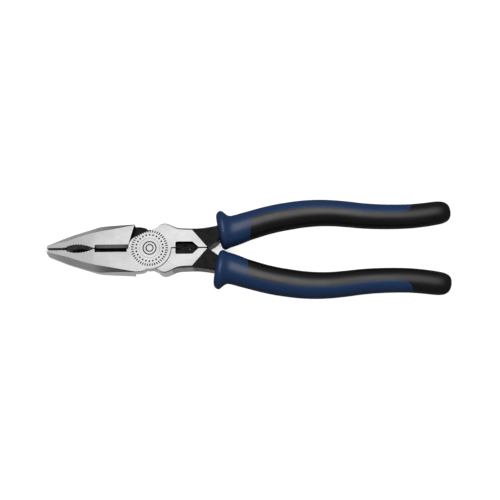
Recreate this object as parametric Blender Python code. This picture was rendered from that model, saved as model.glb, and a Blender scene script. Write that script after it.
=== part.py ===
"""Lineman pliers with side-cutting knives, a pipe grip and a crimping die, 218 mm long.

Two forgings cross at a lap joint and turn on one ground-flush rivet. Each handle carries a hard sleeve
with a flared finger guard and a soft overmould on its inner side.

Frame: the origin is on the rivet's axis, at the back face of the head. +X runs to the handles, +Y to the
upper jaw and +Z out of the front face. Sizes are in millimetres, and MM turns them into metres.
The upper-jaw half is the lower-jaw half turned by 180 degrees about X, apart from the crimping die.
"""

import math

import bmesh
import bpy

MM = 0.001

# Head
HEAD_T = 13.0            # thickness of the head over its two flat faces
MID = HEAD_T / 2         # height of the lap plane
LAP_GAP = 0.2            # play between the two lapped layers
SEAM_GAP = 0.3           # play between the halves along the centre line
ARC_GAP = 0.25           # play around the joint discs
DISC_R = 11.55           # radius of the joint disc of each half
DISC_STEP = 7.5          # degrees between the points of the disc's edge
STOP_ANGLE = 98.0        # degrees from +X to the shoulder that stops the other half's ear
HEEL_OUTER_X = -7.7      # heel of a jaw at its outer edge
HEEL_INNER_X = -11.95    # heel of a jaw at the centre line

# Rivet
RIVET_R = 4.0
RIVET_HEAD_R = 5.4
RIVET_HEAD_T = 1.8
RIVET_GAP = 0.15
RIVET_SEGMENTS = 32

# Jaw
NOSE_TAPER_X = -30.0     # the jaw's faces thin down from here to the tip
NOSE_TIP_X = -55.4
NOSE_TAPER = 1.1         # how far each face falls by the tip
TEETH_START_X = -54.4    # flat serrated nose
TEETH_END_X = -46.1
NOSE_TEETH = 9
TOOTH_ROOT = 0.85        # depth of the tooth roots below the centre line
TOOTH_CREST = 0.4
PIPE_START_X = -45.3     # toothed oval for pipes and nuts
PIPE_END_X = -30.6
PIPE_DEPTH = 2.5
PIPE_TEETH = 10
PIPE_TOOTH = 0.35
KNIFE_START_X = -29.4    # side-cutting knives
KNIFE_END_X = -12.15
KNIFE_MOUTH = 2.05       # half width of the recess on the face
KNIFE_SHOULDER = 1.15    # half width where the steep relief meets the edge bevel
KNIFE_SHOULDER_Z = 1.7   # and its height over the mid plane
KNIFE_LAND_Z = 0.15      # half height of the flat cutting edge

# Crimping die, on the centre line behind the joint
DIE_START_X = 13.8
DIE_SHOULDER_X = 22.9
DIE_END_X = 26.6
DIE_HALF_WIDTH = 3.4
DIE_POCKET_DEPTH = 3.4   # depth of the window from each face down to the die
DIE_NEST_X = 19.2
DIE_NEST_R = 2.3
DIE_TOOTH_R = 1.9
DIE_ARC_POINTS = 9

# Neck and handle tang
CHEVRON_SEAM_X = 31.1    # the ground faces end in a chevron, here at the centre line
CHEVRON_EDGE_X = 21.4    # and here at CHEVRON_EDGE_Y
CHEVRON_EDGE_Y = 11.3
FACE_STEP = 0.6          # the blackened arms lie this far below the ground faces
TANG_CHAMFER = 1.0
GRIP_GAP = 0.25          # play between a tang and its grip
ARM_END_X = 36.8         # the blackened arm ends here, inside the grip
ARM_END_LOW = 4.1
ARM_END_HIGH = 12.6
ARM_SPACE_X = 30.0       # the grip's mouth is clear of the arm from here
ARM_SPACE_HIGH = 11.6

# Grip
GRIP_SIDES = 28          # points around a section
GRIP_SQUARENESS = 2.3    # exponent of the section's superellipse
GRIP_SEAT = 0.7          # the upper grip is pushed on this much less, the lower this much more
PARTING_START_X = 53.4   # the overmould starts here on the inner side
PARTING_END_X = 142.5    # and takes the whole section from here to the tail
PARTING_GAP = 0.12

# Outline of the lower-jaw half, clockwise seen from the front, starting at the tip.
# Each row: x, y, inset of the face edge in x and in y, half height of the side wall.
JAW_EDGE = (
    (NOSE_TIP_X, -SEAM_GAP / 2, 0.5, 0.0, 2.2),
    (NOSE_TIP_X, -2.1, 0.5, 0.4, 2.2),
    (-54.7, -3.2, 0.8, 1.6, 1.7),
    (-44.8, -7.2, 0.0, 3.45, 1.8),
    (-38.4, -9.3, 0.0, 3.3, 1.9),
    (-31.8, -11.3, 0.0, 3.2, 2.1),
    (-27.2, -12.5, 0.0, 3.3, 2.8),
    (-22.0, -12.7, 0.0, 2.6, 4.3),
    (-16.3, -12.8, 0.0, 1.65, 5.3),
    (-10.6, -12.95, 0.0, 0.75, 6.1),
    (-7.5, -13.1, 0.0, 0.4, 6.2),
    (-5.4, -13.0, 0.0, 0.35, 6.2),
    (-3.7, -12.65, 0.0, 0.3, 6.2),
    (-2.4, -12.3, 0.0, 0.3, 6.2),
)
ARM_EDGE = (
    (31.3, SEAM_GAP / 2, 0.2, 0.0, 6.3),
    (ARM_END_X, ARM_END_LOW, 0.0, 0.7, 5.4),
    (ARM_END_X, ARM_END_HIGH, 0.0, -1.5, 4.6),
    (33.0, 11.85, 0.0, -1.4, 4.7),
    (28.8, 11.15, 0.0, -1.3, 4.9),
    (25.0, 10.8, 0.0, -1.1, 5.2),
    (20.0, 10.8, 0.0, -1.0, 5.5),
    (16.0, 11.0, 0.0, -0.9, 5.6),
    (13.6, 11.5, 0.0, -0.7, 5.8),
    (11.5, 12.5, -0.1, -0.6, 5.9),
    (9.4, 13.3, -0.1, -0.5, 6.0),
    (8.2, 13.5, 0.0, -0.5, 6.0),
    (6.9, 13.4, 0.1, -0.5, 6.0),
    (5.6, 12.75, 0.2, -0.3, 6.1),
    (4.0, 11.4, 0.2, -0.2, 6.2),
    (1.4, 10.1, 0.1, -0.2, 6.2),
    (-1.1, 9.3, 0.1, -0.25, 6.2),
    (-4.2, 8.1, 0.1, -0.25, 6.2),
    (-7.6, 6.5, 0.15, -0.2, 6.2),
    (-9.5, 5.2, 0.2, -0.15, 6.2),
    (-10.7, 3.6, 0.25, -0.1, 6.2),
    (-11.4, 1.9, 0.25, 0.0, 6.2),
    (-11.6, -SEAM_GAP / 2, 0.2, 0.0, 6.2),
)

# Tang: x, y of the centre, half width, half depth.
TANG = (
    (30.5, 6.3, 4.2, 4.8),
    (36.0, 8.4, 4.3, 5.1),
    (42.0, 9.9, 3.9, 4.9),
    (50.0, 12.4, 3.3, 4.3),
    (60.0, 15.4, 3.0, 4.0),
    (72.0, 18.15, 2.9, 3.9),
    (84.0, 19.75, 2.8, 3.8),
    (96.0, 19.95, 2.7, 3.7),
    (108.0, 19.0, 2.6, 3.6),
    (120.0, 17.85, 2.5, 3.5),
    (132.0, 17.55, 2.4, 3.4),
    (140.0, 17.8, 2.2, 3.2),
)

# Grip: x, y of the centre, half width, half depth, degrees that the section leans from upright.
GRIP = (
    (35.9, 10.5, 6.0, 5.6, 10.0),
    (36.1, 10.6, 8.2, 7.4, 10.0),
    (36.7, 10.7, 9.6, 8.5, 9.0),
    (37.6, 10.8, 10.4, 9.1, 8.0),
    (38.9, 10.85, 10.6, 9.2, 7.0),
    (40.4, 10.6, 9.65, 8.7, 7.0),
    (42.0, 10.35, 8.75, 8.1, 8.0),
    (44.0, 10.5, 8.25, 7.7, 11.0),
    (47.0, 11.4, 8.0, 7.5, 15.0),
    (51.0, 12.8, 7.75, 7.4, 17.0),
    (55.0, 14.0, 7.65, 7.35, 17.0),
    (61.0, 15.75, 7.55, 7.3, 15.0),
    (68.0, 17.4, 7.5, 7.2, 12.0),
    (75.0, 18.6, 7.45, 7.1, 9.0),
    (82.0, 19.55, 7.35, 7.0, 6.0),
    (90.0, 20.05, 7.2, 6.9, 2.0),
    (98.0, 19.9, 7.05, 6.8, -3.0),
    (106.0, 19.2, 6.95, 6.7, -6.0),
    (114.0, 18.3, 6.85, 6.6, -6.0),
    (122.0, 17.75, 6.75, 6.5, -3.0),
    (131.0, 17.55, 6.65, 6.4, 0.0),
    (140.0, 17.75, 6.55, 6.35, 4.0),
    (148.0, 18.5, 6.45, 6.3, 7.0),
    (154.5, 19.4, 6.3, 6.2, 8.0),
    (158.0, 19.85, 5.85, 5.8, 8.0),
    (160.3, 20.1, 4.85, 4.9, 8.0),
    (161.6, 20.25, 3.25, 3.4, 8.0),
)
GRIP_END = (162.2, 20.35)

# Height of the parting line over the grip's centre line: x, offset.
PARTING = (
    (PARTING_START_X, -9.0),
    (53.5, 0.2),
    (54.2, 1.6),
    (56.0, 2.2),
    (61.0, 2.3),
    (68.0, 2.2),
    (75.0, 2.0),
    (82.0, 1.8),
    (90.0, 1.6),
    (98.0, 1.4),
    (106.0, 1.2),
    (114.0, 1.0),
    (122.0, 0.9),
    (131.0, 0.9),
    (136.0, 1.3),
    (139.5, 3.0),
    (PARTING_END_X, 9.0),
)

COLOURS = {
    "ground_steel": ((0.72, 0.72, 0.72, 1.0), 1.0, 0.32),
    "hard_grip": ((0.012, 0.045, 0.17, 1.0), 0.0, 0.38),
    "soft_grip": ((0.012, 0.012, 0.014, 1.0), 0.0, 0.5),
}


def clear_scene():
    for item in list(bpy.data.objects):
        bpy.data.objects.remove(item, do_unlink=True)


def material(name):
    colour, metallic, roughness = COLOURS[name]
    made = bpy.data.materials.new(name)
    made.use_nodes = True
    shader = made.node_tree.nodes["Principled BSDF"]
    shader.inputs["Base Color"].default_value = colour
    shader.inputs["Metallic"].default_value = metallic
    shader.inputs["Roughness"].default_value = roughness
    return made


def mesh_object(name, rings, made_of=None):
    """A closed solid through rings of points (x, y, z) in millimetres, with a flat face on both ends."""
    shape = bmesh.new()
    levels = [[shape.verts.new([value * MM for value in point]) for point in ring] for ring in rings]
    count = len(levels[0])
    for low, high in zip(levels, levels[1:]):
        for i in range(count):
            j = (i + 1) % count
            shape.faces.new((low[i], low[j], high[j], high[i]))
    shape.faces.new(levels[0][::-1])
    shape.faces.new(levels[-1])
    bmesh.ops.recalc_face_normals(shape, faces=shape.faces)
    mesh = bpy.data.meshes.new(name)
    shape.to_mesh(mesh)
    shape.free()
    made = bpy.data.objects.new(name, mesh)
    bpy.context.scene.collection.objects.link(made)
    if made_of:
        mesh.materials.append(made_of)
    return made


def prism(name, outline, low, high, made_of=None):
    """An outline in the XY plane, raised from one height to another."""
    return mesh_object(name, [[(x, y, z) for x, y in outline] for z in (low, high)], made_of)


def helper(item):
    """A cutter that shapes other pieces and isn't part of the tool."""
    item.hide_render = True
    item.display_type = "WIRE"
    return item


def combine(target, operation, other):
    step = target.modifiers.new(other.name, "BOOLEAN")
    step.operation = operation
    step.solver = "EXACT"
    step.object = helper(other)


def smooth_rounds(item, degrees):
    item.data.shade_smooth()
    item.data.set_sharp_from_angle(angle=math.radians(degrees))


def arc(radius, start, end, step=DISC_STEP):
    """Points around the pivot from one angle to another, in degrees."""
    count = max(2, round(abs(end - start) / step))
    angles = [math.radians(start + (end - start) * i / count) for i in range(count + 1)]
    return [(radius * math.cos(a), radius * math.sin(a)) for a in angles]


def between(rows, x):
    """The columns of a table at x, in straight steps from row to row."""
    for before, after in zip(rows, rows[1:]):
        if x <= after[0]:
            part = (x - before[0]) / (after[0] - before[0])
            return [a + (b - a) * part for a, b in zip(before[1:], after[1:])]
    return list(rows[-1][1:])


# ---- forged halves -------------------------------------------------------------------------------


def half_outline():
    """Rows of x, y, inset in x, inset in y and wall height around one half."""
    disc = []
    for x, y in arc(DISC_R, -STOP_ANGLE, 0.0):
        disc.append((x, min(y, SEAM_GAP / 2), -0.2 * x / DISC_R, -0.2 * y / DISC_R, 6.3))
    disc[-1] = (DISC_R, SEAM_GAP / 2, 0.0, 0.0, 6.3)
    return list(JAW_EDGE) + disc + list(ARM_EDGE)


def blank(name, made_of):
    """One half before it is lapped: side walls with facets up to two flat faces."""
    rows = half_outline()
    rings = []
    for side, inset in ((-1, 1), (-1, 0), (1, 0), (1, 1)):
        ring = []
        for x, y, dx, dy, wall in rows:
            height = MID if inset else wall
            ring.append((x + dx * inset, y + dy * inset, MID + side * height))
        rings.append(ring)
    return mesh_object(name, rings, made_of)


def tang_rings(extra):
    """Sections of the tang, grown by extra on all sides."""
    rings = []
    for x, y, half_width, half_depth in TANG:
        w = half_width + extra
        d = half_depth + extra
        c = TANG_CHAMFER
        front = [(w, d - c), (w - c, d), (c - w, d), (-w, d - c)]
        corners = front + [(across, -up) for across, up in reversed(front)]
        rings.append([(x, y + across, MID + up) for across, up in corners])
    return rings


def lap_cutter(name):
    """What the other half's joint disc takes away from this half's back layer."""
    radius = DISC_R + ARC_GAP
    outline = [(HEEL_OUTER_X, -15.0), (HEEL_INNER_X, 0.0)]
    outline += arc(radius, 178.0, 0.0)
    outline.append((radius, -15.0))
    return prism(name, outline, -1.0, MID + LAP_GAP / 2)


def nose_cutter(name, side):
    """A wedge that thins one face of the nose; side is 1 at the front and -1 at the back."""
    face = MID + side * MID
    tip = MID + side * (MID - NOSE_TAPER)
    out = MID + side * (MID + 2.0)
    reach = NOSE_TIP_X - 1.0
    corners = [(NOSE_TAPER_X, face), (reach, tip), (reach, out), (NOSE_TAPER_X, out)]
    return mesh_object(name, [[(x, y, z) for x, z in corners] for y in (-16.0, 16.0)])


def zigzag(start, end, teeth, crest, root):
    """Tooth points along the centre line; crest and root give the depth at a fraction of the way."""
    points = []
    for i in range(teeth):
        for part, depth in ((0.0, root), (0.5, crest)):
            way = (i + part) / teeth
            points.append((start + (end - start) * way, -depth(way)))
    points.append((end, -root(1.0)))
    return points


def pipe_root(way):
    """Depth of the oval's tooth roots: a quick rise behind the nose and a long run to the knives."""
    return SEAM_GAP + (PIPE_DEPTH - SEAM_GAP) * math.sin(math.pi * way**0.85) ** 0.8


def pipe_crest(way):
    """Depth of the oval's tooth crests."""
    return max(pipe_root(way) - PIPE_TOOTH, SEAM_GAP)


def bite_cutter(name):
    """The serrated nose and the toothed oval of the lower jaw, right through the jaw."""
    outline = [(NOSE_TIP_X - 1.0, 1.0), (NOSE_TIP_X - 1.0, -TOOTH_CREST)]
    outline += zigzag(TEETH_START_X, TEETH_END_X, NOSE_TEETH, lambda way: TOOTH_CREST, lambda way: TOOTH_ROOT)
    outline += zigzag(PIPE_START_X, PIPE_END_X, PIPE_TEETH, pipe_crest, pipe_root)
    outline.append((PIPE_END_X + 0.3, 1.0))
    return prism(name, outline, -2.0, HEAD_T + 2.0)


def knife_cutter(name, side, end):
    """The recess beside the cutting edge on one face of the lower jaw."""
    section = [
        (-SEAM_GAP / 2, KNIFE_LAND_Z),
        (-KNIFE_SHOULDER, KNIFE_SHOULDER_Z),
        (-KNIFE_MOUTH, MID),
        (-KNIFE_MOUTH, MID + 2.0),
        (1.0, MID + 2.0),
        (1.0, KNIFE_LAND_Z),
    ]
    return mesh_object(name, [[(x, y, MID + side * z) for y, z in section] for x in (KNIFE_START_X, end)])


def die_window(name, side):
    """The window over the crimping die on one face, five-sided across both halves."""
    corners = [
        (DIE_START_X, 0.0),
        (DIE_START_X, DIE_HALF_WIDTH - 0.6),
        (DIE_START_X + 0.6, DIE_HALF_WIDTH),
        (DIE_SHOULDER_X, DIE_HALF_WIDTH),
        (DIE_END_X, 0.0),
        (DIE_END_X, -1.0),
        (DIE_START_X, -1.0),
    ]
    face = MID + side * (MID + 1.0)
    floor = MID + side * (MID - DIE_POCKET_DEPTH)
    return prism(name, corners, min(face, floor), max(face, floor))


def die_round(radius, centre_y):
    """Half-round points of the die, from its front end to its back end."""
    points = []
    for i in range(DIE_ARC_POINTS):
        angle = math.pi * (1 - i / (DIE_ARC_POINTS - 1))
        points.append((DIE_NEST_X + radius * math.cos(angle), centre_y + radius * 0.75 * math.sin(angle)))
    return points


def die_nest(name):
    """The nest of the die, cut through the arm above the centre line."""
    outline = [(DIE_NEST_X - DIE_NEST_R, -1.0)] + die_round(DIE_NEST_R, SEAM_GAP / 2)
    outline.append((DIE_NEST_X + DIE_NEST_R, -1.0))
    return prism(name, outline, -2.0, HEAD_T + 2.0)


def die_tooth(name):
    """The tooth that enters the other half's nest, as tall as the arm between its two windows."""
    rim = SEAM_GAP / 2
    outline = [(x, rim - (y - rim)) for x, y in die_round(DIE_TOOTH_R, rim)]
    outline = [(DIE_NEST_X - DIE_TOOTH_R, rim + 1.5)] + outline + [(DIE_NEST_X + DIE_TOOTH_R, rim + 1.5)]
    return prism(name, outline, DIE_POCKET_DEPTH + 0.01, HEAD_T - DIE_POCKET_DEPTH - 0.01)


def face_cutter(name, side):
    """What steps a blackened arm down behind the chevron on one face."""
    slope = (CHEVRON_EDGE_X - CHEVRON_SEAM_X) / CHEVRON_EDGE_Y
    outline = [
        (CHEVRON_SEAM_X + slope * -2.0, -2.0),
        (CHEVRON_SEAM_X + slope * 16.0, 16.0),
        (60.0, 16.0),
        (60.0, -2.0),
    ]
    step = MID + side * (MID - FACE_STEP)
    out = MID + side * (MID + 1.0)
    return prism(name, outline, min(step, out), max(step, out))


def rivet_rings(extra, reach):
    """The rivet's profile: a straight shank with a conical head sunk in both faces."""
    shank = RIVET_R + extra
    head = RIVET_HEAD_R + extra
    profile = [
        (head, -reach),
        (head, 0.0),
        (shank, RIVET_HEAD_T),
        (shank, HEAD_T - RIVET_HEAD_T),
        (head, HEAD_T),
        (head, HEAD_T + reach),
    ]
    if not reach:
        profile = profile[1:-1]
    turns = [2 * math.pi * i / RIVET_SEGMENTS for i in range(RIVET_SEGMENTS)]
    return [[(r * math.cos(turn), r * math.sin(turn), z) for turn in turns] for r, z in profile]


def half(name, has_nest, made_of):
    """A forging with the lower jaw, the front joint disc and the upper handle tang."""
    body = blank(name, made_of)
    combine(body, "UNION", mesh_object(name + "_tang", tang_rings(0.0)))
    combine(body, "DIFFERENCE", lap_cutter(name + "_lap"))
    for label, side, knife_end in (("front", 1, KNIFE_END_X), ("back", -1, HEEL_INNER_X + 2.0)):
        combine(body, "DIFFERENCE", nose_cutter(f"{name}_nose_{label}", side))
        combine(body, "DIFFERENCE", knife_cutter(f"{name}_knife_{label}", side, knife_end))
        combine(body, "DIFFERENCE", die_window(f"{name}_window_{label}", side))
        combine(body, "DIFFERENCE", face_cutter(f"{name}_face_{label}", side))
    combine(body, "DIFFERENCE", bite_cutter(name + "_bite"))
    combine(body, "DIFFERENCE", mesh_object(name + "_bore", rivet_rings(RIVET_GAP, 1.0)))
    if has_nest:
        combine(body, "DIFFERENCE", die_nest(name + "_nest"))
    else:
        combine(body, "UNION", die_tooth(name + "_tooth"))
    smooth_rounds(body, 28)
    return body


# ---- grips ---------------------------------------------------------------------------------------


def grip_ring(x, y, half_width, half_depth, lean):
    """One section of the grip: a superellipse leaning with the handle."""
    ring = []
    power = 2 / GRIP_SQUARENESS
    tilt = math.radians(lean)
    for i in range(GRIP_SIDES):
        angle = 2 * math.pi * i / GRIP_SIDES
        across = math.copysign(abs(math.cos(angle)) ** power, math.cos(angle)) * half_width
        up = math.copysign(abs(math.sin(angle)) ** power, math.sin(angle)) * half_depth
        ring.append((x - across * math.sin(tilt), y + across * math.cos(tilt), MID + up))
    return ring


def grip_body(name, seat, made_of=None):
    rings = [grip_ring(*row) for row in GRIP]
    x, y = GRIP_END
    rings.append(grip_ring(x, y, 1.2, 1.1, GRIP[-1][4]))
    rings = [[(px + seat, py, pz) for px, py, pz in ring] for ring in rings]
    return mesh_object(name, rings, made_of)


def soft_side(name, seat, gap):
    """The space of the overmould: the inner side of the grip and the whole tail, grown by gap."""
    outline = []
    for x, offset in PARTING:
        centre = between(GRIP, x)[0]
        outline.append((x - gap + seat, centre + offset + gap))
    outline += [
        (PARTING_END_X + 2.0 + seat, 45.0),
        (175.0, 45.0),
        (175.0, -15.0),
        (PARTING_START_X - gap + seat, -15.0),
    ]
    return prism(name, outline, -8.0, HEAD_T + 8.0)


def arm_space(name):
    """The mouth of the grip around the blackened arm."""
    gap = GRIP_GAP
    outline = [
        (ARM_SPACE_X, -1.5),
        (ARM_END_X + gap, ARM_END_LOW - 1.5 * gap),
        (ARM_END_X + gap, ARM_END_HIGH + gap),
        (ARM_SPACE_X, ARM_SPACE_HIGH + gap),
    ]
    return prism(name, outline, FACE_STEP - gap, HEAD_T - FACE_STEP + gap)


def grip(side_name, seat, sleeve_material, soft_material):
    """The hard sleeve and the soft overmould of one handle, drawn on the upper handle."""
    sleeve = grip_body(side_name + "_grip_sleeve", seat, sleeve_material)
    soft = grip_body(side_name + "_grip_overmould", seat, soft_material)
    combine(sleeve, "DIFFERENCE", soft_side(side_name + "_sleeve_parting", seat, PARTING_GAP))
    combine(soft, "INTERSECT", soft_side(side_name + "_soft_parting", seat, 0.0))
    channel = mesh_object(side_name + "_tang_channel", tang_rings(GRIP_GAP))
    combine(sleeve, "DIFFERENCE", channel)
    combine(soft, "DIFFERENCE", channel)
    combine(sleeve, "DIFFERENCE", arm_space(side_name + "_arm_mouth"))
    for piece in (sleeve, soft):
        smooth_rounds(piece, 35)
    return sleeve, soft


# ---- assembly ------------------------------------------------------------------------------------


def turn_over(item):
    """Turns a piece by 180 degrees about X at the lap plane, with its origin still on the rivet's axis."""
    item.rotation_euler = (math.pi, 0.0, 0.0)
    item.location = (0.0, 0.0, HEAD_T * MM)


def main():
    clear_scene()
    steel = material("ground_steel")
    hard = material("hard_grip")
    soft = material("soft_grip")

    half("lower_jaw_half", True, steel)
    rivet = mesh_object("pivot_rivet", rivet_rings(0.0, 0.0), steel)
    smooth_rounds(rivet, 35)
    grip("upper", GRIP_SEAT, hard, soft)

    turned = [half("upper_jaw_half", False, steel)]
    turned += grip("lower", -GRIP_SEAT, hard, soft)
    cutters = {step.object for piece in turned for step in piece.modifiers}
    for item in turned + list(cutters):
        turn_over(item)


main()
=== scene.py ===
"""Looks for lineman pliers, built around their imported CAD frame.

Every CAD node is replaced by a finer mesh of the same shape, with softened edges, procedural finishes and
engraved marks. Shapes are drawn in millimetres in the frame of the CAD part: the origin is on the rivet's
axis at the back face of the head, +X runs to the handles, +Y to the upper jaw and +Z out of the front face.
"""
import math

import bmesh
import bpy
from mathutils import Matrix, Vector


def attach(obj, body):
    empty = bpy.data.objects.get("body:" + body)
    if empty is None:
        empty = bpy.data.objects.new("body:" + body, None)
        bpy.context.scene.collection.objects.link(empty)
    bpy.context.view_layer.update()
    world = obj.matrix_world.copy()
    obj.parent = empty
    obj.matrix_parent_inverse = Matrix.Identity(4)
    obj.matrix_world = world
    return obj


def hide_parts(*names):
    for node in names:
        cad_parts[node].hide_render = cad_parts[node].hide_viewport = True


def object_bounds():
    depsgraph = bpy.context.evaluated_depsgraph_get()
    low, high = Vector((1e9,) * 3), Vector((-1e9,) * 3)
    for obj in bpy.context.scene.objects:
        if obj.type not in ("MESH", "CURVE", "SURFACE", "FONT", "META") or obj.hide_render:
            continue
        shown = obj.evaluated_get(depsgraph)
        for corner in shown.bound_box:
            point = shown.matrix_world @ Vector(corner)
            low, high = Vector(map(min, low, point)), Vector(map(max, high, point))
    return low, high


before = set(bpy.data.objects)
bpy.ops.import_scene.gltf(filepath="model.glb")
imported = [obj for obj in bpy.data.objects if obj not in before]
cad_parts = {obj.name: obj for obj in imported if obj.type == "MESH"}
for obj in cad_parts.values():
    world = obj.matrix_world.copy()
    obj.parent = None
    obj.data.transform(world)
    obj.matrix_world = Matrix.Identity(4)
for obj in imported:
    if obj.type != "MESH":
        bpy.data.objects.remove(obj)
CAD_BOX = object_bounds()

MM = 0.001

# Cutters reach this far past the surface that they cut.
CLEAR = 1.0

# Head
HEAD_T = 13.0
MID = HEAD_T / 2
LAP_GAP = 0.12
SEAM_GAP = 0.7
ARC_GAP = 0.22
DISC_R = 11.55
DISC_WALL = 6.3
DISC_EDGE = 0.2
STOP_ANGLE = 98.0
LAP_ANGLE = 178.0
HEEL_OUTER_X = -7.7
HEEL_INNER_X = -11.95
HEEL_Y = -15.0

# Rivet
RIVET_R = 4.0
RIVET_HEAD_R = 5.4
RIVET_HEAD_T = 1.8
RIVET_GAP = 0.04
RIVET_SEGMENTS = 96

# Jaw
NOSE_TAPER_X = -30.0
NOSE_TIP_X = -55.4
NOSE_TAPER = 1.1
NOSE_HALF_WIDTH = 16.0
TEETH_START_X = -54.4
TEETH_END_X = -46.1
NOSE_TEETH = 9
TOOTH_ROOT = 0.85
TOOTH_CREST = 0.4
PIPE_START_X = -45.3
PIPE_END_X = -30.6
PIPE_DEPTH = 2.5
PIPE_TEETH = 10
PIPE_TOOTH = 0.35
PIPE_RISE = 0.85
PIPE_ROUNDNESS = 0.8
KNIFE_START_X = -29.4
KNIFE_END_X = -12.15
KNIFE_MOUTH = 2.05
KNIFE_SHOULDER = 1.15
KNIFE_SHOULDER_Z = 1.7
KNIFE_LAND_Z = 0.15

# Crimping die
DIE_START_X = 13.8
DIE_SHOULDER_X = 22.9
DIE_END_X = 26.6
DIE_HALF_WIDTH = 3.4
DIE_CORNER = 0.6
DIE_POCKET_DEPTH = 3.4
DIE_NEST_X = 19.2
DIE_NEST_R = 2.3
DIE_TOOTH_R = 2.2
DIE_TOOTH_ROOT = 1.5
DIE_TOOTH_STEP = 0.01
DIE_ROUND_HEIGHT = 0.75
DIE_ARC_POINTS = 25

# Neck and handle tang
CHEVRON_SEAM_X = 31.1
CHEVRON_EDGE_X = 21.4
CHEVRON_EDGE_Y = 11.3
FACE_INNER_Y = -2.0
FACE_OUTER_Y = 16.0
FACE_END_X = 60.0
FACE_STEP = 0.6
TANG_CHAMFER = 1.0
GRIP_GAP = 0.2
ARM_END_X = 36.8
ARM_END_LOW = 4.1
ARM_END_HIGH = 12.6
ARM_SPACE_X = 30.0
ARM_SPACE_LOW = -1.5
ARM_SPACE_HIGH = 11.6

# Grip
GRIP_SIDES = 72
GRIP_SQUARENESS = 2.3
GRIP_SEAT = 0.7
PARTING_START_X = 53.4
PARTING_START_Y = 9.0
PARTING_END_X = 142.5
TAIL_START_X = PARTING_END_X + 2.0

# Box that holds one whole grip: inner and outer y, the end in x, and the height over both faces.
GRIP_BOX_INNER_Y = -15.0
GRIP_BOX_OUTER_Y = 45.0
GRIP_BOX_END_X = 175.0
GRIP_BOX_Z = 8.0

# Engraved marks on the joint disc: a dial of plain ticks and dots
MARK_DEPTH = 0.25
TICK_INNER_R = 8.55
TICK_OUTER_R = 9.85
TICK_WIDTH = 0.58
TICK_STEP = 8
DOT_R = 0.5
DOT_SIDES = 12
DOT_RING_R = 7.2
DOT_STEP = 15
RIVET_RINGS = (3.7, 2.1)
RING_WIDTH = 0.5
RING_SIDES = 72

# Edge softening: width in millimetres, and the angle in degrees from which an edge counts as sharp.
STEEL_EDGE = 0.14
STEEL_SHARP = 28
RIVET_EDGE = 0.07
RIVET_SHARP = 35
GRIP_EDGE = 0.3
GRIP_SHARP = 40

# Steps between the rows of a table
OUTLINE_STEPS = 3
GRIP_STEPS = 4

# Sockets of a Mix node that blends colours
MIX_FACTOR = 0
MIX_FIRST = 6
MIX_SECOND = 7
MIX_RESULT = 2

# Outline of the lower-jaw half: x, y, inset of the face edge in x and in y, half height of the side wall.
JAW_TIP = (
    (NOSE_TIP_X, -SEAM_GAP / 2, 0.5, 0.0, 2.2),
    (NOSE_TIP_X, -2.1, 0.5, 0.4, 2.2),
)
JAW_EDGE = (
    (-54.7, -3.2, 0.8, 1.6, 1.7),
    (-44.8, -7.2, 0.0, 3.45, 1.8),
    (-38.4, -9.3, 0.0, 3.3, 1.9),
    (-31.8, -11.3, 0.0, 3.2, 2.1),
    (-27.2, -12.5, 0.0, 3.3, 2.8),
    (-22.0, -12.7, 0.0, 2.6, 4.3),
    (-16.3, -12.8, 0.0, 1.65, 5.3),
    (-10.6, -12.95, 0.0, 0.75, 6.1),
    (-7.5, -13.1, 0.0, 0.4, 6.2),
    (-5.4, -13.0, 0.0, 0.35, 6.2),
    (-3.7, -12.65, 0.0, 0.3, 6.2),
    (-2.4, -12.3, 0.0, 0.3, 6.2),
)
ARM_END = (
    (31.3, SEAM_GAP / 2, 0.2, 0.0, 6.3),
    (ARM_END_X, ARM_END_LOW, 0.0, 0.7, 5.4),
)
ARM_EDGE = (
    (ARM_END_X, ARM_END_HIGH, 0.0, -1.5, 4.6),
    (33.0, 11.85, 0.0, -1.4, 4.7),
    (28.8, 11.15, 0.0, -1.3, 4.9),
    (25.0, 10.8, 0.0, -1.1, 5.2),
    (20.0, 10.8, 0.0, -1.0, 5.5),
    (16.0, 11.0, 0.0, -0.9, 5.6),
    (13.6, 11.5, 0.0, -0.7, 5.8),
    (11.5, 12.5, -0.1, -0.6, 5.9),
    (9.4, 13.3, -0.1, -0.5, 6.0),
    (8.2, 13.5, 0.0, -0.5, 6.0),
    (6.9, 13.4, 0.1, -0.5, 6.0),
    (5.6, 12.75, 0.2, -0.3, 6.1),
    (4.0, 11.4, 0.2, -0.2, 6.2),
)
# The shoulder that runs over the lap, back to the centre line.
SHOULDER = (
    (1.4, 10.1, 0.1, -0.2, 6.2),
    (-1.1, 9.3, 0.1, -0.25, 6.2),
    (-4.2, 8.1, 0.1, -0.25, 6.2),
    (-7.6, 6.5, 0.15, -0.2, 6.2),
    (-9.5, 5.2, 0.2, -0.15, 6.2),
    (-10.7, 3.6, 0.25, -0.1, 6.2),
    (-11.4, 1.9, 0.25, 0.0, 6.2),
    (-11.6, -SEAM_GAP / 2, 0.2, 0.0, 6.2),
)
# The side walls are darker behind the first of these, and black behind the second.
NECK_START_X = 12.5
ARM_START_X = 24.0

# Tang: x, y of the centre, half width, half depth.
TANG = (
    (30.5, 6.3, 4.2, 4.8),
    (36.0, 8.4, 4.3, 5.1),
    (42.0, 9.9, 3.9, 4.9),
    (50.0, 12.4, 3.3, 4.3),
    (60.0, 15.4, 3.0, 4.0),
    (72.0, 18.15, 2.9, 3.9),
    (84.0, 19.75, 2.8, 3.8),
    (96.0, 19.95, 2.7, 3.7),
    (108.0, 19.0, 2.6, 3.6),
    (120.0, 17.85, 2.5, 3.5),
    (132.0, 17.55, 2.4, 3.4),
    (140.0, 17.8, 2.2, 3.2),
)

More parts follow.
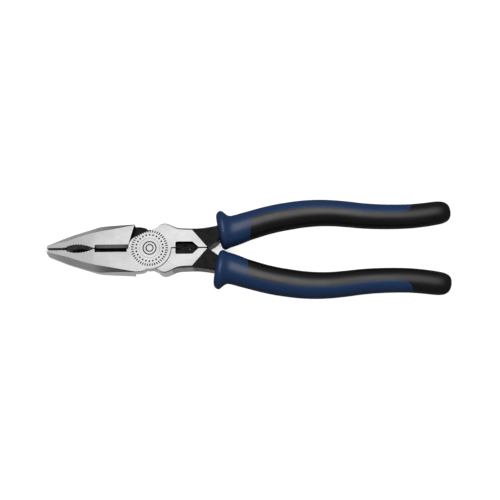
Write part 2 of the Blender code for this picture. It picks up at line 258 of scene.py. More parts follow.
# Grip: x, y of the centre, half width, half depth, degrees that the section leans from upright.
GRIP = (
    (35.9, 10.5, 6.0, 5.6, 10.0),
    (36.1, 10.6, 8.2, 7.4, 10.0),
    (36.7, 10.7, 9.6, 8.5, 9.0),
    (37.6, 10.8, 10.4, 9.1, 8.0),
    (38.9, 10.85, 10.6, 9.2, 7.0),
    (40.4, 10.6, 9.65, 8.7, 7.0),
    (42.0, 10.35, 8.75, 8.1, 8.0),
    (44.0, 10.5, 8.25, 7.7, 11.0),
    (47.0, 11.4, 8.0, 7.5, 15.0),
    (51.0, 12.8, 7.75, 7.4, 17.0),
    (55.0, 14.0, 7.65, 7.35, 17.0),
    (61.0, 15.75, 7.55, 7.3, 15.0),
    (68.0, 17.4, 7.5, 7.2, 12.0),
    (75.0, 18.6, 7.45, 7.1, 9.0),
    (82.0, 19.55, 7.35, 7.0, 6.0),
    (90.0, 20.05, 7.2, 6.9, 2.0),
    (98.0, 19.9, 7.05, 6.8, -3.0),
    (106.0, 19.2, 6.95, 6.7, -6.0),
    (114.0, 18.3, 6.85, 6.6, -6.0),
    (122.0, 17.75, 6.75, 6.5, -3.0),
    (131.0, 17.55, 6.65, 6.4, 0.0),
    (140.0, 17.75, 6.55, 6.35, 4.0),
    (148.0, 18.5, 6.45, 6.3, 7.0),
    (154.5, 19.4, 6.3, 6.2, 8.0),
    (158.0, 19.85, 5.85, 5.8, 8.0),
    (160.3, 20.1, 4.85, 4.9, 8.0),
    (161.6, 20.25, 3.25, 3.4, 8.0),
    (162.2, 20.35, 0.85, 1.1, 8.0),
)

# Height of the parting line over the grip's centre line: x, offset.
PARTING = (
    (53.5, 0.2),
    (54.2, 1.6),
    (56.0, 2.2),
    (61.0, 2.3),
    (68.0, 2.2),
    (75.0, 2.0),
    (82.0, 1.8),
    (90.0, 1.6),
    (98.0, 1.4),
    (106.0, 1.2),
    (114.0, 1.0),
    (122.0, 0.9),
    (131.0, 0.9),
    (136.0, 1.3),
    (139.5, 3.0),
    (142.5, 9.0),
)


# ---- meshes --------------------------------------------------------------------------------------


def refine(rows, steps):
    """A smooth curve through the rows of a table, with this many steps from row to row."""
    fine = []
    last = len(rows) - 1
    for i in range(last):
        before, start, end, after = rows[max(i - 1, 0)], rows[i], rows[i + 1], rows[min(i + 2, last)]
        for k in range(steps):
            t = k / steps
            fine.append(tuple(curve(*values, t) for values in zip(before, start, end, after)))
    fine.append(rows[last])
    return fine


def curve(a, b, c, d, t):
    """The Catmull-Rom value between b and c, with t running from 0 to 1."""
    bend = (2 * a - 5 * b + 4 * c - d) * t**2 + (3 * b - a - 3 * c + d) * t**3
    return 0.5 * (2 * b + (c - a) * t + bend)


def add_object(name, data):
    """Makes an object from a mesh, a light or a camera and puts it into the scene."""
    made = bpy.data.objects.new(name, data)
    bpy.context.scene.collection.objects.link(made)
    return made


def loft(name, rings, *finishes, pick=None):
    """A closed solid through rings of points in millimetres.

    pick gives the number of a side's finish from the middle of the side's edge on its first ring.
    """
    shape = bmesh.new()
    levels = [[shape.verts.new([value * MM for value in point]) for point in ring] for ring in rings]
    count = len(levels[0])
    for low, high in zip(levels, levels[1:]):
        for i in range(count):
            j = (i + 1) % count
            side = shape.faces.new((low[i], low[j], high[j], high[i]))
            if pick:
                middle = (low[i].co + low[j].co) / (2 * MM)
                side.material_index = pick(middle.x, middle.y)
    shape.faces.new(levels[0][::-1])
    shape.faces.new(levels[-1])
    bmesh.ops.recalc_face_normals(shape, faces=shape.faces)
    mesh = bpy.data.meshes.new(name)
    shape.to_mesh(mesh)
    shape.free()
    for finish in finishes:
        mesh.materials.append(finish)
    return add_object(name, mesh)


def prism(name, outline, low, high, finish):
    """An outline in the XY plane, raised from one height to another."""
    return loft(name, [[(x, y, z) for x, y in outline] for z in (low, high)], finish)


def combine(target, operation, other):
    """Adds a Boolean that carries the other solid's finish over to the faces that it makes."""
    step = target.modifiers.new(other.name, "BOOLEAN")
    step.operation = operation
    step.solver = "EXACT"
    step.material_mode = "TRANSFER"
    step.object = other


def settle(item):
    """Turns an object's Booleans into its mesh and removes their cutters."""
    graph = bpy.context.evaluated_depsgraph_get()
    mesh = bpy.data.meshes.new_from_object(item.evaluated_get(graph))
    for step in item.modifiers:
        bpy.data.objects.remove(step.object)
    item.modifiers.clear()
    item.data = mesh


def complete(item, edge, sharp_angle):
    """Settles a visible piece, cleans its mesh and softens its edges."""
    settle(item)
    clean(item.data)
    soften(item, edge, sharp_angle)


def clean(mesh):
    """Merges the slivers that the Booleans leave."""
    shape = bmesh.new()
    shape.from_mesh(mesh)
    bmesh.ops.remove_doubles(shape, verts=shape.verts, dist=0.02 * MM)
    bmesh.ops.dissolve_degenerate(shape, edges=shape.edges, dist=0.01 * MM)
    shape.to_mesh(mesh)
    shape.free()


def soften(item, edge, sharp_angle):
    """Rounds the sharp edges of a piece and smooths what lies between them."""
    item.data.shade_smooth()
    item.data.set_sharp_from_angle(angle=math.radians(sharp_angle))
    bevel = item.modifiers.new("edges", "BEVEL")
    bevel.width = edge * MM
    bevel.segments = 2
    bevel.limit_method = "ANGLE"
    bevel.angle_limit = math.radians(sharp_angle)
    bevel.use_clamp_overlap = True
    bevel.harden_normals = True


def circle(radius, count, centre=(0.0, 0.0)):
    """Evenly spaced points around a centre."""
    turns = [2 * math.pi * i / count for i in range(count)]
    return [(centre[0] + radius * math.cos(t), centre[1] + radius * math.sin(t)) for t in turns]


def arc(radius, start, end):
    """Points about every 2.5 degrees around the pivot, from one angle to another."""
    count = round(abs(end - start) / 2.5)
    angles = [math.radians(start + (end - start) * i / count) for i in range(count + 1)]
    return [(radius * math.cos(a), radius * math.sin(a)) for a in angles]


def between(rows, x):
    """The second column of a table at x, in straight steps from row to row."""
    for before, after in zip(rows, rows[1:]):
        if x <= after[0]:
            return before[1] + (after[1] - before[1]) * (x - before[0]) / (after[0] - before[0])
    return rows[-1][1]


# ---- finishes ------------------------------------------------------------------------------------


class Finish:
    """A procedural material: one Principled shader and the textures that feed it, in object space."""

    def __init__(self, name, colour, metallic, roughness, specular=0.5):
        self.material = bpy.data.materials.new(name)
        self.material.use_nodes = True
        self.material.diffuse_color = (*colour, 1.0)
        self.tree = self.material.node_tree
        self.shader = self.tree.nodes["Principled BSDF"]
        self.colour = colour
        self.shader.inputs["Base Color"].default_value = (*colour, 1.0)
        self.shader.inputs["Metallic"].default_value = metallic
        self.shader.inputs["Roughness"].default_value = roughness
        self.shader.inputs["Specular IOR Level"].default_value = specular
        self.place = self.tree.nodes.new("ShaderNodeTexCoord").outputs["Object"]
        self.normal = None

    def link(self, source, target):
        self.tree.links.new(source, target)

    def stretched(self, per_metre, turn=0.0):
        """Object coordinates scaled along each axis, turned about Z first."""
        turned = self.tree.nodes.new("ShaderNodeMapping")
        turned.inputs["Rotation"].default_value = (0.0, 0.0, math.radians(turn))
        self.link(self.place, turned.inputs["Vector"])
        scaled = self.tree.nodes.new("ShaderNodeMapping")
        scaled.inputs["Scale"].default_value = per_metre
        self.link(turned.outputs["Vector"], scaled.inputs["Vector"])
        return scaled.outputs["Vector"]

    def noise(self, per_metre, detail=2.0, turn=0.0):
        made = self.tree.nodes.new("ShaderNodeTexNoise")
        made.inputs["Scale"].default_value = 1.0
        made.inputs["Detail"].default_value = detail
        self.link(self.stretched(per_metre, turn), made.inputs["Vector"])
        return made.outputs["Fac"]

    def cells(self, size):
        """Fine pebbles of this size in metres, high in the middle of each."""
        made = self.tree.nodes.new("ShaderNodeTexVoronoi")
        made.feature = "SMOOTH_F1"
        made.inputs["Scale"].default_value = 1.0 / size
        self.link(self.place, made.inputs["Vector"])
        return made.outputs["Distance"]

    def spread(self, value, low, high, to_low, to_high):
        """Maps a value from one range to another, held at both ends."""
        made = self.tree.nodes.new("ShaderNodeMapRange")
        self.link(value, made.inputs["Value"])
        made.inputs["From Min"].default_value = low
        made.inputs["From Max"].default_value = high
        made.inputs["To Min"].default_value = to_low
        made.inputs["To Max"].default_value = to_high
        return made.outputs["Result"]

    def join(self, first, second, operation="ADD"):
        made = self.tree.nodes.new("ShaderNodeMath")
        made.operation = operation
        self.link(first, made.inputs[0])
        self.link(second, made.inputs[1])
        return made.outputs["Value"]

    def tint(self, value, other):
        """Blends the base colour towards another where value is high."""
        made = self.tree.nodes.new("ShaderNodeMix")
        made.data_type = "RGBA"
        made.inputs[MIX_FIRST].default_value = (*self.colour, 1.0)
        made.inputs[MIX_SECOND].default_value = (*other, 1.0)
        self.link(value, made.inputs[MIX_FACTOR])
        self.link(made.outputs[MIX_RESULT], self.shader.inputs["Base Color"])

    def rough(self, value):
        self.link(value, self.shader.inputs["Roughness"])

    def bump(self, value, height, strength):
        """Adds a relief of this height in metres on top of the earlier ones."""
        made = self.tree.nodes.new("ShaderNodeBump")
        made.inputs["Strength"].default_value = strength
        made.inputs["Distance"].default_value = height
        self.link(value, made.inputs["Height"])
        if self.normal:
            self.link(self.normal, made.inputs["Normal"])
        self.normal = made.outputs["Normal"]
        self.link(self.normal, self.shader.inputs["Normal"])


def ground_steel():
    """Belt-ground steel: lines along the tool, a few stray scratches and faint handling marks."""
    made = Finish("ground_steel", (0.60, 0.60, 0.605), 1.0, 0.5)
    lines = made.noise((260.0, 9000.0, 9000.0), 3.0)
    stray = made.spread(made.noise((160.0, 5200.0, 5200.0), 1.0, 63.0), 0.66, 0.74, 0.0, 1.0)
    smudge = made.noise((70.0, 90.0, 90.0), 3.0)
    made.tint(made.spread(smudge, 0.35, 0.7, 0.0, 1.0), (0.57, 0.57, 0.58))
    grain = made.spread(lines, 0.3, 0.7, 0.46, 0.54)
    made.rough(made.join(grain, made.spread(smudge, 0.4, 0.75, 0.0, 0.03)))
    made.bump(lines, 0.006 * MM, 0.35)
    made.bump(stray, 0.01 * MM, 0.2)
    return made.material


def black_oxide():
    """Blackened forging skin, slightly mottled and pitted."""
    made = Finish("black_oxide", (0.004, 0.0045, 0.005), 0.0, 0.5, 0.16)
    blotch = made.noise((420.0, 420.0, 420.0), 4.0)
    made.tint(made.spread(blotch, 0.45, 0.8, 0.0, 1.0), (0.011, 0.011, 0.0105))
    made.rough(made.spread(blotch, 0.3, 0.7, 0.44, 0.6))
    made.bump(made.noise((2600.0, 2600.0, 2600.0), 3.0), 0.03 * MM, 0.4)
    return made.material


def forged_steel():
    """The sides and bevels of the forgings: coarser and duller than the ground faces."""
    made = Finish("forged_steel", (0.31, 0.31, 0.315), 1.0, 0.5)
    lines = made.noise((600.0, 600.0, 5000.0), 3.0)
    cloud = made.noise((120.0, 120.0, 120.0), 3.0)
    made.tint(made.spread(cloud, 0.35, 0.7, 0.0, 1.0), (0.28, 0.28, 0.29))
    made.rough(made.spread(lines, 0.3, 0.7, 0.45, 0.55))
    made.bump(lines, 0.012 * MM, 0.4)
    return made.material


def neck_steel():
    """Darker side walls of the neck."""
    made = Finish("neck_steel", (0.13, 0.13, 0.135), 1.0, 0.5)
    cloud = made.noise((300.0, 300.0, 300.0), 4.0)
    made.tint(made.spread(cloud, 0.35, 0.7, 0.0, 1.0), (0.1, 0.1, 0.105))
    made.rough(made.spread(cloud, 0.3, 0.7, 0.45, 0.58))
    made.bump(made.noise((2600.0, 2600.0, 2600.0), 3.0), 0.02 * MM, 0.3)
    return made.material


def knife_relief():
    """The milled wall beside the knives: dull and bright, with cutter lines across the edge."""
    made = Finish("knife_relief", (0.7, 0.7, 0.705), 0.0, 0.5)
    lines = made.noise((5000.0, 300.0, 300.0), 2.0)
    made.rough(made.spread(lines, 0.3, 0.7, 0.45, 0.55))
    made.bump(lines, 0.01 * MM, 0.3)
    return made.material


def engraved_steel():
    """The floor of an engraved mark, dulled by grime."""
    made = Finish("engraved_steel", (0.03, 0.03, 0.032), 0.5, 0.6, 0.3)
    grime = made.noise((900.0, 900.0, 900.0), 3.0)
    made.tint(made.spread(grime, 0.4, 0.7, 0.0, 1.0), (0.012, 0.012, 0.012))
    made.rough(made.spread(grime, 0.3, 0.7, 0.45, 0.65))
    made.bump(grime, 0.02 * MM, 0.3)
    return made.material


def blue_hard_grip():
    """Moulded blue plastic with a fine satin grain."""
    made = Finish("blue_hard_grip", (0.023, 0.074, 0.22), 0.0, 0.4, 0.5)
    cloud = made.noise((60.0, 60.0, 60.0), 3.0)
    made.tint(made.spread(cloud, 0.35, 0.7, 0.0, 1.0), (0.021, 0.065, 0.192))
    grain = made.cells(0.28 * MM)
    made.rough(made.join(made.spread(cloud, 0.3, 0.7, 0.32, 0.4), made.spread(grain, 0.0, 0.6, 0.0, 0.06)))
    made.bump(grain, 0.02 * MM, 0.22)
    made.bump(made.noise((700.0, 700.0, 700.0), 2.0), 0.02 * MM, 0.15)
    return made.material


def black_soft_grip():
    """Soft black rubber with a fine pebbled skin, a little shinier where hands rub it."""
    made = Finish("black_soft_grip", (0.006, 0.006, 0.007), 0.0, 0.42, 0.64)
    rubbed = made.noise((45.0, 80.0, 80.0), 3.0)
    made.tint(made.spread(rubbed, 0.4, 0.75, 0.0, 1.0), (0.01, 0.01, 0.011))
    pebbles = made.cells(0.4 * MM)
    skin = made.spread(pebbles, 0.0, 0.6, 0.0, 0.05)
    made.rough(made.join(made.spread(rubbed, 0.3, 0.7, 0.34, 0.42), skin))
    made.bump(pebbles, 0.035 * MM, 0.3)
    return made.material


STEEL = ground_steel()
SIDE = forged_steel()
NECK = neck_steel()
RELIEF = knife_relief()
OXIDE = black_oxide()
MARK = engraved_steel()
HARD = blue_hard_grip()
SOFT = black_soft_grip()


# ---- forged halves -------------------------------------------------------------------------------


def half_outline():
    """Rows of x, y, inset in x, inset in y and wall height around one half."""
    disc = []
    for x, y in arc(DISC_R, -STOP_ANGLE, 0.0):
        disc.append((x, y, -DISC_EDGE * x / DISC_R, -DISC_EDGE * y / DISC_R, DISC_WALL))
    disc[-1] = (DISC_R, SEAM_GAP / 2, 0.0, 0.0, DISC_WALL)
    jaw = list(JAW_TIP) + refine(JAW_EDGE, OUTLINE_STEPS)
    arm = list(ARM_END) + refine(ARM_EDGE, OUTLINE_STEPS)
    shoulder = refine((ARM_EDGE[-1],) + SHOULDER, OUTLINE_STEPS)[1:]
    return jaw + disc + arm + shoulder


def wall_finish(x, y):
    """Number of a side wall's finish: bare on the head, darker on the neck, black on the arm and the seam."""
    if x > ARM_START_X or abs(y) < SEAM_GAP:
        return 3
    return 2 if x > NECK_START_X and y > 0 else 1


def blank(name):
    """One half before it is lapped: side walls with facets up to two flat faces."""
    rows = half_outline()
    rings = []
    for side, inset in ((-1, 1), (-1, 0), (1, 0), (1, 1)):
        ring = []
        for x, y, dx, dy, wall in rows:
            height = MID if inset else wall
            ring.append((x + dx * inset, y + dy * inset, MID + side * height))
        rings.append(ring)
    return loft(name, rings, STEEL, SIDE, NECK, OXIDE, pick=wall_finish)


def tang_rings(extra):
    """Sections of the tang, grown by extra on all sides."""
    rings = []
    for x, y, half_width, half_depth in refine(TANG, OUTLINE_STEPS):
        w = half_width + extra
        d = half_depth + extra
        c = TANG_CHAMFER
        front = [(w, d - c), (w - c, d), (c - w, d), (-w, d - c)]
        corners = front + [(across, -up) for across, up in reversed(front)]
        rings.append([(x, y + across, MID + up) for across, up in corners])
    return rings


def lap_cutter(name):
    """What the other half's joint disc takes away from this half's back layer."""
    radius = DISC_R + ARC_GAP
    outline = [(HEEL_OUTER_X, HEEL_Y), (HEEL_INNER_X, 0.0)]
    outline += arc(radius, LAP_ANGLE, 0.0)
    outline.append((radius, HEEL_Y))
    return prism(name, outline, -CLEAR, MID + LAP_GAP / 2, OXIDE)


def nose_cutter(name, side):
    """A wedge that thins one face of the nose; side is 1 at the front and -1 at the back."""
    face = MID + side * MID
    tip = MID + side * (MID - NOSE_TAPER)
    out = MID + side * (MID + 2 * CLEAR)
    reach = NOSE_TIP_X - CLEAR
    corners = [(NOSE_TAPER_X, face), (reach, tip), (reach, out), (NOSE_TAPER_X, out)]
    return loft(name, [[(x, y, z) for x, z in corners] for y in (-NOSE_HALF_WIDTH, NOSE_HALF_WIDTH)], STEEL)


def zigzag(start, end, teeth, crest, root):
    """Tooth points along the centre line; crest and root give a depth from the part of the way gone."""
    points = []
    for i in range(teeth):
        for part, depth in ((0.0, root), (0.5, crest)):
            way = (i + part) / teeth
            points.append((start + (end - start) * way, -depth(way)))
    points.append((end, -root(1.0)))
    return points


def pipe_root(way):
    """Depth of the oval's tooth roots: a quick rise behind the nose and a long run to the knives."""
    bulge = math.sin(math.pi * way**PIPE_RISE) ** PIPE_ROUNDNESS
    return SEAM_GAP + (PIPE_DEPTH - SEAM_GAP) * bulge


def pipe_crest(way):
    """Depth of the oval's tooth crests."""
    return max(pipe_root(way) - PIPE_TOOTH, SEAM_GAP)


def nose_root(way):
    """Depth of the nose's tooth roots, the same all the way."""
    return TOOTH_ROOT


def nose_crest(way):
    """Depth of the nose's tooth crests, the same all the way."""
    return TOOTH_CREST


def bite_cutter(name):
    """The serrated nose and the toothed oval of the lower jaw, right through the jaw."""
    outline = [(NOSE_TIP_X - CLEAR, CLEAR), (NOSE_TIP_X - CLEAR, -TOOTH_CREST)]
    outline += zigzag(TEETH_START_X, TEETH_END_X, NOSE_TEETH, nose_crest, nose_root)
    outline += zigzag(PIPE_START_X, PIPE_END_X, PIPE_TEETH, pipe_crest, pipe_root)
    outline.append((PIPE_END_X + 0.3, CLEAR))
    return prism(name, outline, -2 * CLEAR, HEAD_T + 2 * CLEAR, OXIDE)


def relief_finish(_, y):
    """Number of a recess side's finish: milled on its wall, black on the bevel down to the edge."""
    return int(y < -KNIFE_SHOULDER)


def knife_cutter(name, side, end):
    """The recess beside the cutting edge on one face of the lower jaw."""
    section = [
        (-SEAM_GAP / 2, KNIFE_LAND_Z),
        (-KNIFE_SHOULDER, KNIFE_SHOULDER_Z),
        (-KNIFE_MOUTH, MID),
        (-KNIFE_MOUTH, MID + 2 * CLEAR),
        (CLEAR, MID + 2 * CLEAR),
        (CLEAR, KNIFE_LAND_Z),
    ]
    rings = [[(x, y, MID + side * z) for y, z in section] for x in (KNIFE_START_X, end)]
    return loft(name, rings, OXIDE, RELIEF, pick=relief_finish)


def die_window(name, side):
    """The window over the crimping die on one face, five-sided across both halves."""
    corners = [
        (DIE_START_X, 0.0),
        (DIE_START_X, DIE_HALF_WIDTH - DIE_CORNER),
        (DIE_START_X + DIE_CORNER, DIE_HALF_WIDTH),
        (DIE_SHOULDER_X, DIE_HALF_WIDTH),
        (DIE_END_X, 0.0),
        (DIE_END_X, -CLEAR),
        (DIE_START_X, -CLEAR),
    ]
    face = MID + side * (MID + CLEAR)
    floor = MID + side * (MID - DIE_POCKET_DEPTH)
    return prism(name, corners, min(face, floor), max(face, floor), OXIDE)


def die_round(radius, centre_y):
    """Half-round points of the die, from its front end to its back end."""
    points = []
    for i in range(DIE_ARC_POINTS):
        angle = math.pi * (1 - i / (DIE_ARC_POINTS - 1))
        rise = radius * DIE_ROUND_HEIGHT * math.sin(angle)
        points.append((DIE_NEST_X + radius * math.cos(angle), centre_y + rise))
    return points


def die_nest(name):
    """The nest of the die, cut through the arm above the centre line."""
    outline = [(DIE_NEST_X - DIE_NEST_R, -CLEAR)] + die_round(DIE_NEST_R, SEAM_GAP / 2)
    outline.append((DIE_NEST_X + DIE_NEST_R, -CLEAR))
    return prism(name, outline, -2 * CLEAR, HEAD_T + 2 * CLEAR, OXIDE)


def die_tooth(name):
    """The tooth that enters the other half's nest, as tall as the arm between its two windows."""
    rim = SEAM_GAP / 2
    root = rim + DIE_TOOTH_ROOT
    crown = [(x, rim - (y - rim)) for x, y in die_round(DIE_TOOTH_R, rim)]
    outline = [(DIE_NEST_X - DIE_TOOTH_R, root), *crown, (DIE_NEST_X + DIE_TOOTH_R, root)]
    low = DIE_POCKET_DEPTH + DIE_TOOTH_STEP
    return prism(name, outline, low, HEAD_T - low, OXIDE)


def face_cutter(name, side):
    """What steps a blackened arm down behind the chevron on one face."""
    slope = (CHEVRON_EDGE_X - CHEVRON_SEAM_X) / CHEVRON_EDGE_Y
    outline = [
        (CHEVRON_SEAM_X + slope * FACE_INNER_Y, FACE_INNER_Y),
        (CHEVRON_SEAM_X + slope * FACE_OUTER_Y, FACE_OUTER_Y),
        (FACE_END_X, FACE_OUTER_Y),
        (FACE_END_X, FACE_INNER_Y),
    ]
    step = MID + side * (MID - FACE_STEP)
    out = MID + side * (MID + CLEAR)
    return prism(name, outline, min(step, out), max(step, out), OXIDE)


def rivet_rings(extra, reach):
    """The rivet's profile: a straight shank with a conical head sunk in both faces."""
    shank = RIVET_R + extra
    head = RIVET_HEAD_R + extra
    profile = [
        (head, -reach),
        (head, 0.0),
        (shank, RIVET_HEAD_T),
        (shank, HEAD_T - RIVET_HEAD_T),
        (head, HEAD_T),
        (head, HEAD_T + reach),
    ]
    if not reach:
        profile = profile[1:-1]
    return turned(profile)


def turned(profile):
    """Rings of a profile of radius and height, around the pivot."""
    return [[(x, y, z) for x, y in circle(radius, RIVET_SEGMENTS)] for radius, z in profile]


def tick(angle):
    """Outline of one radial tick."""
    cos = math.cos(math.radians(angle))
    sin = math.sin(math.radians(angle))
    corners = []
    for along, side in ((TICK_INNER_R, -1), (TICK_OUTER_R, -1), (TICK_OUTER_R, 1), (TICK_INNER_R, 1)):
        across = side * TICK_WIDTH / 2
        corners.append((along * cos - across * sin, along * sin + across * cos))
    return corners


def dot(angle):
    """Outline of one round dot."""
    turn = math.radians(angle)
    return circle(DOT_R, DOT_SIDES, (DOT_RING_R * math.cos(turn), DOT_RING_R * math.sin(turn)))


def engrave(body, name):
    """Cuts the dial of ticks and dots into the front face of the joint disc."""
    outlines = [tick(angle) for angle in range(0, 360, TICK_STEP)]
    outlines += [dot(angle) for angle in range(0, 360, DOT_STEP)]
    for outline in outlines:
        mark = prism(name + "_mark", outline, HEAD_T - MARK_DEPTH, HEAD_T + CLEAR, MARK)
        combine(body, "DIFFERENCE", mark)


def half(name, has_nest):
    """A forging with the lower jaw, the front joint disc and the upper handle tang."""
    body = blank(name)
    combine(body, "UNION", loft(name + "_tang", tang_rings(0.0), OXIDE))
    combine(body, "DIFFERENCE", lap_cutter(name + "_lap"))
    for label, side, knife_end in (("front", 1, KNIFE_END_X), ("back", -1, HEEL_INNER_X + 2 * CLEAR)):
        combine(body, "DIFFERENCE", nose_cutter(f"{name}_nose_{label}", side))
        combine(body, "DIFFERENCE", knife_cutter(f"{name}_knife_{label}", side, knife_end))
        combine(body, "DIFFERENCE", die_window(f"{name}_window_{label}", side))
        combine(body, "DIFFERENCE", face_cutter(f"{name}_face_{label}", side))
    combine(body, "DIFFERENCE", bite_cutter(name + "_bite"))
    combine(body, "DIFFERENCE", loft(name + "_bore", rivet_rings(RIVET_GAP, CLEAR), OXIDE))
    if has_nest:
        combine(body, "DIFFERENCE", die_nest(name + "_nest"))
    else:
        combine(body, "UNION", die_tooth(name + "_tooth"))
    engrave(body, name)
    complete(body, STEEL_EDGE, STEEL_SHARP)
    return body


def rivet(name):
    """The flush rivet, with plain turned rings on both ends."""
    body = loft(name, rivet_rings(0.0, 0.0), STEEL)
    for radius in RIVET_RINGS:
        outer = circle(radius, RING_SIDES)
        inner = circle(radius - RING_WIDTH, RING_SIDES)
        for low, high in ((-CLEAR, MARK_DEPTH), (HEAD_T - MARK_DEPTH, HEAD_T + CLEAR)):
            ring = prism(name + "_ring", outer, low, high, MARK)
            combine(ring, "DIFFERENCE", prism(name + "_core", inner, low - CLEAR, high + CLEAR, MARK))
            settle(ring)
            combine(body, "DIFFERENCE", ring)
    complete(body, RIVET_EDGE, RIVET_SHARP)
    return body


# ---- grips ---------------------------------------------------------------------------------------


def grip_ring(x, y, half_width, half_depth, lean):
    """One section of the grip: a superellipse leaning with the handle."""
    ring = []
    power = 2 / GRIP_SQUARENESS
    tilt = math.radians(lean)
    for i in range(GRIP_SIDES):
        angle = 2 * math.pi * (i + 0.5) / GRIP_SIDES
        across = math.copysign(abs(math.cos(angle)) ** power, math.cos(angle)) * half_width
        up = math.copysign(abs(math.sin(angle)) ** power, math.sin(angle)) * half_depth
        ring.append((x - across * math.sin(tilt), y + across * math.cos(tilt), MID + up))
    return ring


def grip_body(name, seat, finish):
    """The outer shape of a whole grip, pushed along the handle by seat."""
    rings = [grip_ring(x + seat, *rest) for x, *rest in refine(GRIP, GRIP_STEPS)]
    return loft(name, rings, finish)


def soft_side(name, seat, finish):
    """The space of the overmould: the inner side of the grip and the whole tail."""
    centre = refine([row[:2] for row in GRIP], GRIP_STEPS)
    outline = [(PARTING_START_X + seat, PARTING_START_Y)]
    for x, offset in refine(PARTING, GRIP_STEPS):
        outline.append((x + seat, between(centre, x) + offset))
    outline += [
        (TAIL_START_X + seat, GRIP_BOX_OUTER_Y),
        (GRIP_BOX_END_X, GRIP_BOX_OUTER_Y),
        (GRIP_BOX_END_X, GRIP_BOX_INNER_Y),
        (PARTING_START_X + seat, GRIP_BOX_INNER_Y),
    ]
    return prism(name, outline, -GRIP_BOX_Z, HEAD_T + GRIP_BOX_Z, finish)


def arm_space(name):
    """The mouth of the grip around the blackened arm; the arm's inner edge is steep, so it gets more room."""
    gap = GRIP_GAP
    outline = [
        (ARM_SPACE_X, ARM_SPACE_LOW),
        (ARM_END_X + gap, ARM_END_LOW - 1.5 * gap),
        (ARM_END_X + gap, ARM_END_HIGH + gap),
        (ARM_SPACE_X, ARM_SPACE_HIGH + gap),
    ]
    return prism(name, outline, FACE_STEP - gap, HEAD_T - FACE_STEP + gap, HARD)


def grip(side_name, seat):
    """The hard sleeve and the soft overmould of one handle, drawn on the upper handle."""
    sleeve = grip_body(side_name + "_hard_sleeve", seat, HARD)
    soft = grip_body(side_name + "_soft_overmould", seat, SOFT)
    combine(sleeve, "DIFFERENCE", soft_side(side_name + "_sleeve_parting", seat, HARD))
    combine(soft, "INTERSECT", soft_side(side_name + "_soft_parting", seat, SOFT))
    combine(sleeve, "DIFFERENCE", loft(side_name + "_channel", tang_rings(GRIP_GAP), HARD))
    combine(soft, "DIFFERENCE", loft(side_name + "_soft_channel", tang_rings(GRIP_GAP), SOFT))
    combine(sleeve, "DIFFERENCE", arm_space(side_name + "_arm_mouth"))
    for item in (sleeve, soft):
        complete(item, GRIP_EDGE, GRIP_SHARP)
    return sleeve, soft


# ---- assembly ------------------------------------------------------------------------------------


def turn_over(item):
    """Turns a piece by 180 degrees about X at the lap plane."""
    item.data.transform(Matrix.Translation((0.0, 0.0, HEAD_T * MM)) @ Matrix.Rotation(math.pi, 4, "X"))


def fit(piece, node, body):
    """Puts a piece in the place of a CAD node."""
    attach(piece, body)
    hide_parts(node)


def build_tool():
    """Builds all pieces, fits them to the CAD nodes, and returns the three of bare steel."""
    lower_half = half("lower_jaw_forging", True)
    upper_half = half("upper_jaw_forging", False)
    pin = rivet("joint_rivet")
    upper_sleeve, upper_soft = grip("upper", GRIP_SEAT)
    lower_sleeve, lower_soft = grip("lower", -GRIP_SEAT)
    for item in (upper_half, lower_sleeve, lower_soft):
        turn_over(item)
    fit(lower_half, "lower_jaw_half", "lower_jaw_side")
    fit(pin, "pivot_rivet", "lower_jaw_side")
    fit(upper_sleeve, "upper_grip_sleeve", "lower_jaw_side")
    fit(upper_soft, "upper_grip_overmould", "lower_jaw_side")
    fit(upper_half, "upper_jaw_half", "upper_jaw_side")
    fit(lower_sleeve, "lower_grip_sleeve", "upper_jaw_side")
    fit(lower_soft, "lower_grip_overmould", "upper_jaw_side")
    return [lower_half, upper_half, pin]


# ---- studio --------------------------------------------------------------------------------------


FLOOR_R = 1.0
FLOOR_GREY = 0.25
FLOOR_DROP = 0.02
SWEEP_START_R = 1.4
SWEEP_R = 1.6
SWEEP_STEPS = 12
STAGE_SIDES = 96
GLOW = 1.0
WORLD_GREY = 0.08

# The floor's painted shade: how far it looks for the tool, and the stretch of floor under the closed jaws
# that is painted dark as a shadow, in metres.
SHADE_REACH = 0.02
JAW_SHADE_CENTRE = (-0.0287, 0.002, 0.0)
JAW_SHADE_SIZE = (0.030, 0.0026, 1000.0)
# Grey of the painted shadow on the floor under the closed jaws.
JAW_SHADE_GREY = 0.01

LIGHT_TILT = 13.0
LIGHT_DISTANCE = 1.2
LIGHT_SIZE = 0.6
LIGHT_POWER = 5.7

TARGET = Vector((53.7, -0.2, 6.5)) * MM
CAMERA_DISTANCE = 0.54
CAMERA_ELEVATION = 77.5
CAMERA_LENS = 71.9
CAMERA_ROLL = 0.52


def glowing(name, grey):
    """A matt finish of this grey with a soft white glow of its own."""
    made = Finish(name, (grey, grey, grey), 0.0, 0.9, 0.0)
    made.shader.inputs["Emission Color"].default_value = (1.0, 1.0, 1.0, 1.0)
    made.shader.inputs["Emission Strength"].default_value = GLOW
    return made


def stage_surface(name, profile, finish):
    """A surface of revolution around the tool, from a profile of radius and height in metres."""
    shape = bmesh.new()
    rings = []
    for radius, height in profile:
        points = circle(radius, STAGE_SIDES, (TARGET.x, 0.0))
        rings.append([shape.verts.new((x, y, height)) for x, y in points])
    if len(rings) == 1:
        shape.faces.new(rings[0])
    for low, high in zip(rings, rings[1:]):
        for i in range(STAGE_SIDES):
            j = (i + 1) % STAGE_SIDES
            shape.faces.new((low[i], low[j], high[j], high[i]))
    mesh = bpy.data.meshes.new(name)
    shape.to_mesh(mesh)
    shape.free()
    mesh.materials.append(finish)
    mesh.shade_smooth()
    made = add_object(name, mesh)
    return made


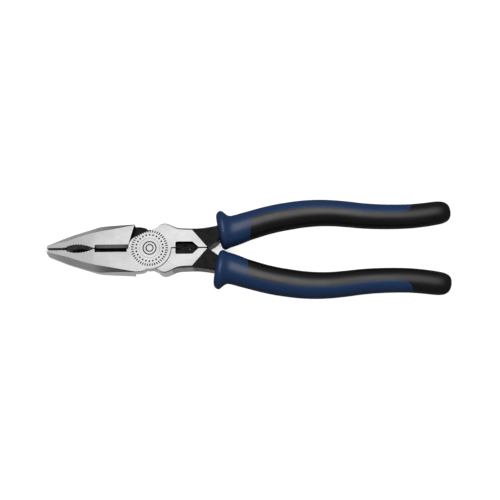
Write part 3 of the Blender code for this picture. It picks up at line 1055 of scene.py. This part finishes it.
def painted_jaw_shadow_distance(made):
    """Distance from the middle of the stretch of floor under the closed jaws that is painted as a shadow,
    with 1 on its rim.
    """
    stretch = made.tree.nodes.new("ShaderNodeMapping")
    stretch.vector_type = "TEXTURE"
    stretch.inputs["Location"].default_value = JAW_SHADE_CENTRE
    stretch.inputs["Scale"].default_value = JAW_SHADE_SIZE
    made.link(made.place, stretch.inputs["Vector"])
    length = made.tree.nodes.new("ShaderNodeVectorMath")
    length.operation = "LENGTH"
    made.link(stretch.outputs["Vector"], length.inputs[0])
    return length.outputs["Value"]


def floor_white_painted_shade():
    """White, with painted shade where the tool stands close over it and a painted black shadow under the
    closed jaws.
    """
    # The base colour starts as the painted shadow's dark grey; the tint below turns it to the floor grey
    # outside that shadow.
    made = glowing("floor_white_painted_shade", JAW_SHADE_GREY)
    sky = made.tree.nodes.new("ShaderNodeAmbientOcclusion")
    sky.inputs["Distance"].default_value = SHADE_REACH
    sky.samples = 8
    # Painted shadow: the floor is dark and has no glow in the stretch under the closed jaws, except where the
    # floor there is open to the sky.
    away = made.spread(painted_jaw_shadow_distance(made), 0.7, 1.1, 0.0, 1.0)
    opened = made.spread(sky.outputs["AO"], 0.6, 0.95, 0.0, 1.0)
    # Painted contact shade: the glow dims where the tool stands close over the floor.
    painted_contact_shade = made.spread(sky.outputs["AO"], 0.0, 0.16, 0.3, 1.0)
    lit = made.join(away, opened, "MAXIMUM")
    made.tint(lit, (FLOOR_GREY, FLOOR_GREY, FLOOR_GREY))
    made.link(made.join(lit, painted_contact_shade, "MULTIPLY"), made.shader.inputs["Emission Strength"])
    return made.material


def floor_height():
    return CAD_BOX[0].z - FLOOR_DROP * MM


def make_floor():
    """A round floor just under the tool, with painted shade where the tool stands over it."""
    return stage_surface("floor", [(FLOOR_R, floor_height())], floor_white_painted_shade())


def make_backdrop():
    """A white sweep that starts just under the floor's rim and rises behind it on all sides."""
    low = floor_height()
    profile = [(FLOOR_R - 0.01, low - 0.001)]
    for i in range(SWEEP_STEPS + 1):
        turn = math.pi / 2 * i / SWEEP_STEPS
        profile.append((SWEEP_START_R + SWEEP_R * math.sin(turn), low + SWEEP_R * (1 - math.cos(turn))))
    return stage_surface("backdrop", profile, glowing("backdrop_white", FLOOR_GREY).material)


def light_by_glow(stage, items):
    """The glow of the floor or the backdrop reaches only itself and these pieces."""
    lit = bpy.data.collections.new("lit_by_" + stage.name)
    for item in [stage, *items]:
        lit.objects.link(item)
    stage.light_linking.receiver_collection = lit


def make_light():
    """One square soft light over the tool, leaning towards the upper handle's side."""
    lamp = bpy.data.lights.new("overhead", "AREA")
    lamp.shape = "SQUARE"
    lamp.size = LIGHT_SIZE
    lamp.energy = LIGHT_POWER
    tilt = math.radians(LIGHT_TILT)
    direction = Vector((0.0, math.sin(tilt), math.cos(tilt)))
    item = add_object("overhead", lamp)
    item.location = TARGET + direction * LIGHT_DISTANCE
    item.rotation_euler = direction.to_track_quat("Z", "Y").to_euler()


def make_world():
    """A faint even grey from all around."""
    world = bpy.data.worlds.new("studio")
    world.use_nodes = True
    background = world.node_tree.nodes["Background"]
    background.inputs["Color"].default_value = (WORLD_GREY, WORLD_GREY, WORLD_GREY, 1.0)
    bpy.context.scene.world = world


def make_camera():
    """A camera high over the tool, on the side of the lower handle."""
    lens = bpy.data.cameras.new("camera")
    lens.lens = CAMERA_LENS
    lens.sensor_width = 36.0
    elevation = math.radians(CAMERA_ELEVATION)
    back = Vector((0.0, -math.cos(elevation), math.sin(elevation)))
    aim = back.to_track_quat("Z", "Y").to_matrix().to_4x4()
    roll = Matrix.Rotation(math.radians(-CAMERA_ROLL), 4, "Z")
    item = add_object("camera", lens)
    item.location = TARGET + back * CAMERA_DISTANCE
    item.rotation_euler = (aim @ roll).to_euler()
    bpy.context.scene.camera = item


def make_studio(forgings):
    """Floor, backdrop, light and camera around the tool."""
    bpy.context.scene.view_settings.view_transform = "Standard"
    make_camera()
    light_by_glow(make_floor(), forgings)
    light_by_glow(make_backdrop(), [])
    make_world()
    make_light()


make_studio(build_tool())
